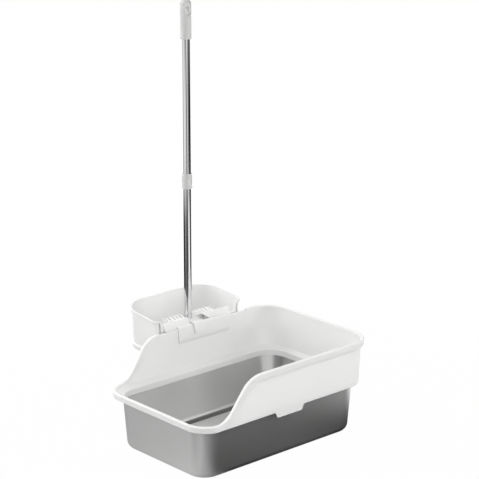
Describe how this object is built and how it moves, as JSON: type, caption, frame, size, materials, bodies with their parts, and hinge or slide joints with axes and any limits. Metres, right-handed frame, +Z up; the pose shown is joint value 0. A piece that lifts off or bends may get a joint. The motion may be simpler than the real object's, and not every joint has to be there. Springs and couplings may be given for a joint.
{
  "type": "litter box with scoop",
  "caption": "Steel litter pan with a high-sided plastic guard and low entry, a hanging bin, and a slotted scoop that hangs on the rim by a long screwed pole.",
  "frame": {"origin": "centre of the pan's flat underside, on the floor", "axes": "+Z up; +X from the low entry to the high back end; +Y towards the long wall that carries the bin and the scoop"},
  "size_m": [0.5948, 0.5677, 1.1302],
  "materials": {
    "brushed_steel": "satin drawn sheet",
    "chromed_tube": "bright chromed steel tube",
    "white_plastic": "satin moulded plastic"
  },
  "bodies": {
    "pan": {"steel_pan": "brushed_steel"},
    "guard_body": {"guard": "white_plastic"},
    "bin_body": {"bin": "white_plastic"},
    "scoop_body": {"scoop_head": "white_plastic"},
    "lower_pole": {"lower_tube": "chromed_tube", "foot_plug": "white_plastic", "screw_insert": "white_plastic", "joint_collar": "white_plastic"},
    "upper_pole": {"upper_tube": "chromed_tube", "link_plug": "white_plastic", "end_cap": "white_plastic"}
  },
  "joints": [
    {"name": "guard_lift", "type": "slide", "parent": "pan", "child": "guard_body", "axis": [0, 0, 1], "range_m": [0, 0.2]},
    {"name": "bin_lift", "type": "slide", "parent": "guard_body", "child": "bin_body", "axis": [0, 0, 1], "range_m": [0, 0.12]},
    {"name": "scoop_lift", "type": "slide", "parent": "bin_body", "child": "scoop_body", "axis": [0, 0, 1], "range_m": [0, 0.15]},
    {"name": "lower_pole_turn", "type": "hinge", "parent": "scoop_body", "child": "lower_pole", "pos_m": [0.0285, 0.23619, 0.2672], "axis": [0, 0, 1], "continuous": true},
    {"name": "upper_pole_turn", "type": "hinge", "parent": "lower_pole", "child": "upper_pole", "pos_m": [0.0285, 0.23619, 0.6482], "axis": [0, 0, 1], "continuous": true}
  ]
}
